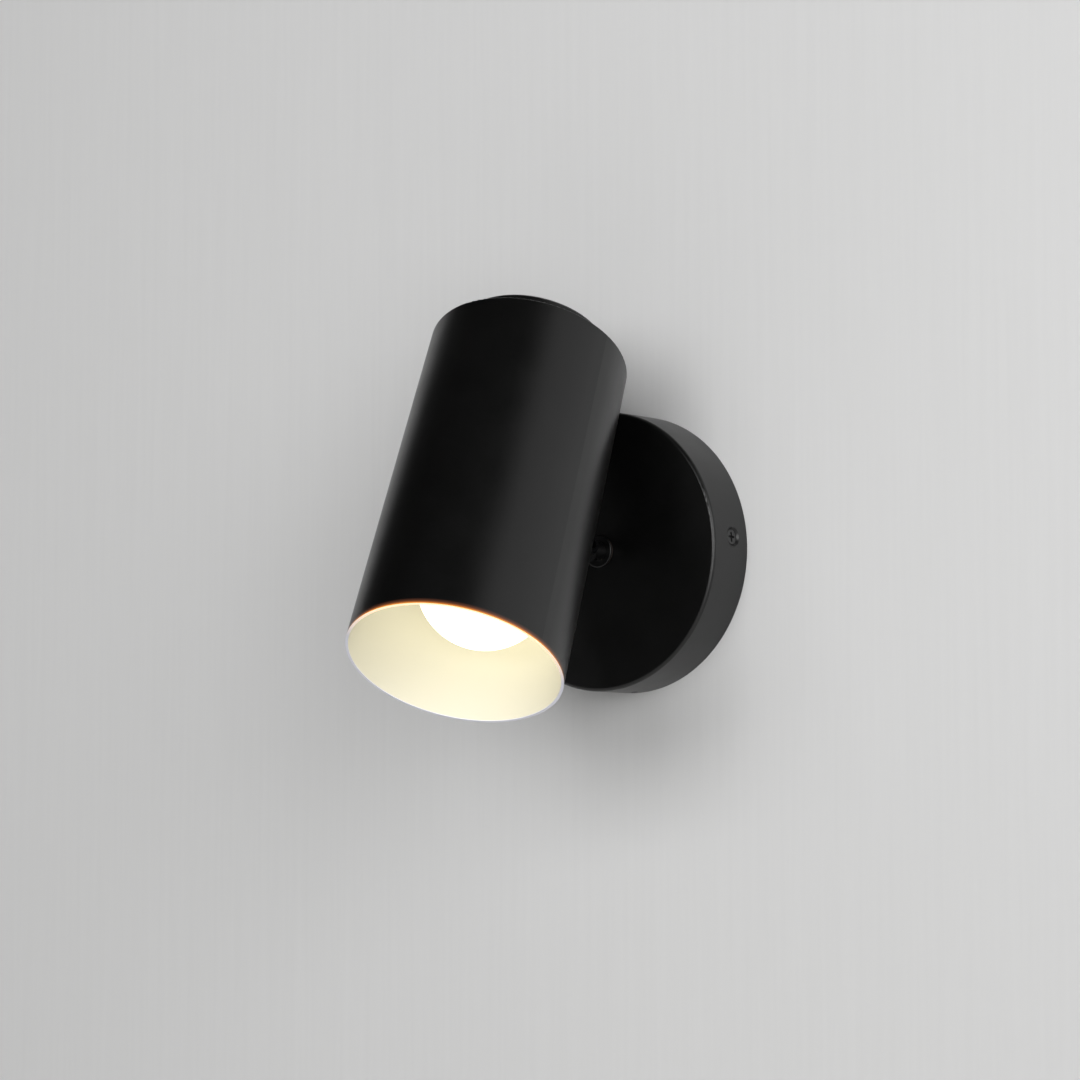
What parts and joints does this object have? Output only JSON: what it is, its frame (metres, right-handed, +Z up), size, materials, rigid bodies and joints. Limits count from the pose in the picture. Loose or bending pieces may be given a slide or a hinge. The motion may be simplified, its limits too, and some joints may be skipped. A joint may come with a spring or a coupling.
{
  "type": "pivoting spotlight wall light",
  "caption": "Round wall canopy with a short swivel post and knuckle that carry a tapered black spotlight head, white inside, around a glowing frosted lamp.",
  "frame": {"origin": "centre of the canopy's back, on the wall", "axes": "+Y into the wall, +X right and +Z up for a person who faces the wall"},
  "size_m": [0.127, 0.1846, 0.1892],
  "materials": {
    "black_paint": "matte powder coat, the shade white inside",
    "zinc_steel": "zinc plated",
    "black_screw": "blackened steel",
    "green_screw": "green earth screw",
    "spring_steel": "bare spring steel",
    "nylon": "natural nylon",
    "fibre": "hard fibre",
    "rubber": "black rubber",
    "ceramic": "glazed ceramic",
    "brass": "plain brass",
    "nickel": "nickel plated brass",
    "black_glass": "black insulating glass",
    "white_plastic": "white lamp body",
    "frosted_lamp": "frosted, glowing"
  },
  "bodies": {
    "base": {"canopy": "black_paint", "mounting_bracket": "zinc_steel", "canopy_screws": "black_screw", "ground_screw": "green_screw", "stem_bushing": "nylon", "stop_pin": "zinc_steel"},
    "swivel": {"swivel_post": "black_paint", "thrust_washer": "fibre", "stop_washer": "zinc_steel", "stem_spring": "spring_steel", "stem_nut": "zinc_steel", "tilt_friction_washer": "fibre"},
    "head": {"head_lug": "black_paint", "tilt_screw": "black_screw", "tilt_spring": "spring_steel", "tilt_nut": "black_screw", "lug_screws": "zinc_steel", "wire_grommet": "rubber", "shade": "black_paint", "shade_top": "black_paint", "top_cap": "black_paint", "cap_screw": "black_screw", "cap_nut": "zinc_steel", "lampholder_bracket": "zinc_steel", "bracket_screws": "zinc_steel", "lampholder_screws": "zinc_steel", "lampholder_body": "ceramic", "lampholder_shell": "brass", "lampholder_contact": "brass", "lamp_globe": "frosted_lamp", "lamp_housing": "white_plastic", "lamp_base": "nickel", "lamp_insulator": "black_glass", "lamp_contact": "brass"}
  },
  "joints": [
    {"name": "head_swivel", "type": "hinge", "parent": "base", "child": "swivel", "pos_m": [0, 0, 0], "axis": [0, 1, 0], "range_deg": [-159, 168]},
    {"name": "head_tilt", "type": "hinge", "parent": "swivel", "child": "head", "pos_m": [0, -0.0445, 0], "axis": [0.9888, 0, 0.1495], "range_deg": [-0.5, 55]}
  ]
}
